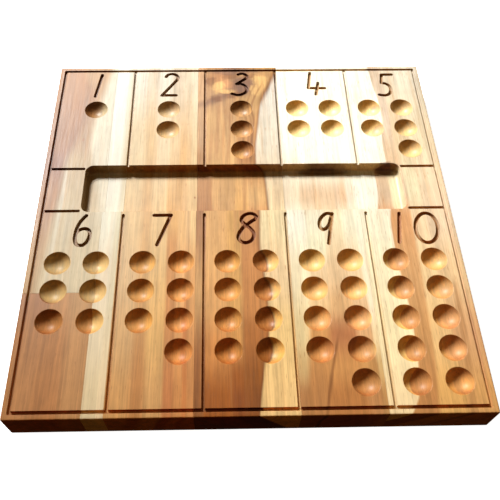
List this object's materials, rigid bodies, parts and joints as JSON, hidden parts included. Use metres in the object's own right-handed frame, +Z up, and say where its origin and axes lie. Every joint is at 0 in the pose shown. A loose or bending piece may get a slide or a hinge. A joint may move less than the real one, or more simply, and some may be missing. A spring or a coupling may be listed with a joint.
{
  "type": "counting board",
  "caption": "Square edge-glued hardwood board with routed cells, numerals and round dimples for counters, and a long tray across the middle.",
  "frame": {"origin": "centre of the underside", "axes": "+X right, +Y to the back edge beyond the numerals one to five, +Z up out of the routed face"},
  "size_m": [0.3, 0.3, 0.025],
  "materials": {
    "stave_1_rear_length_wood": "oiled satin",
    "stave_1_front_length_wood": "oiled satin",
    "stave_2_wood": "oiled satin",
    "stave_3_wood": "oiled satin",
    "stave_4_wood": "oiled satin",
    "stave_5_wood": "oiled satin",
    "stave_6_wood": "oiled satin"
  },
  "bodies": {
    "root": {"stave_1_rear_length": "stave_1_rear_length_wood", "stave_1_front_length": "stave_1_front_length_wood", "stave_2": "stave_2_wood", "stave_3": "stave_3_wood", "stave_4": "stave_4_wood", "stave_5": "stave_5_wood", "stave_6": "stave_6_wood"}
  },
  "joints": []
}
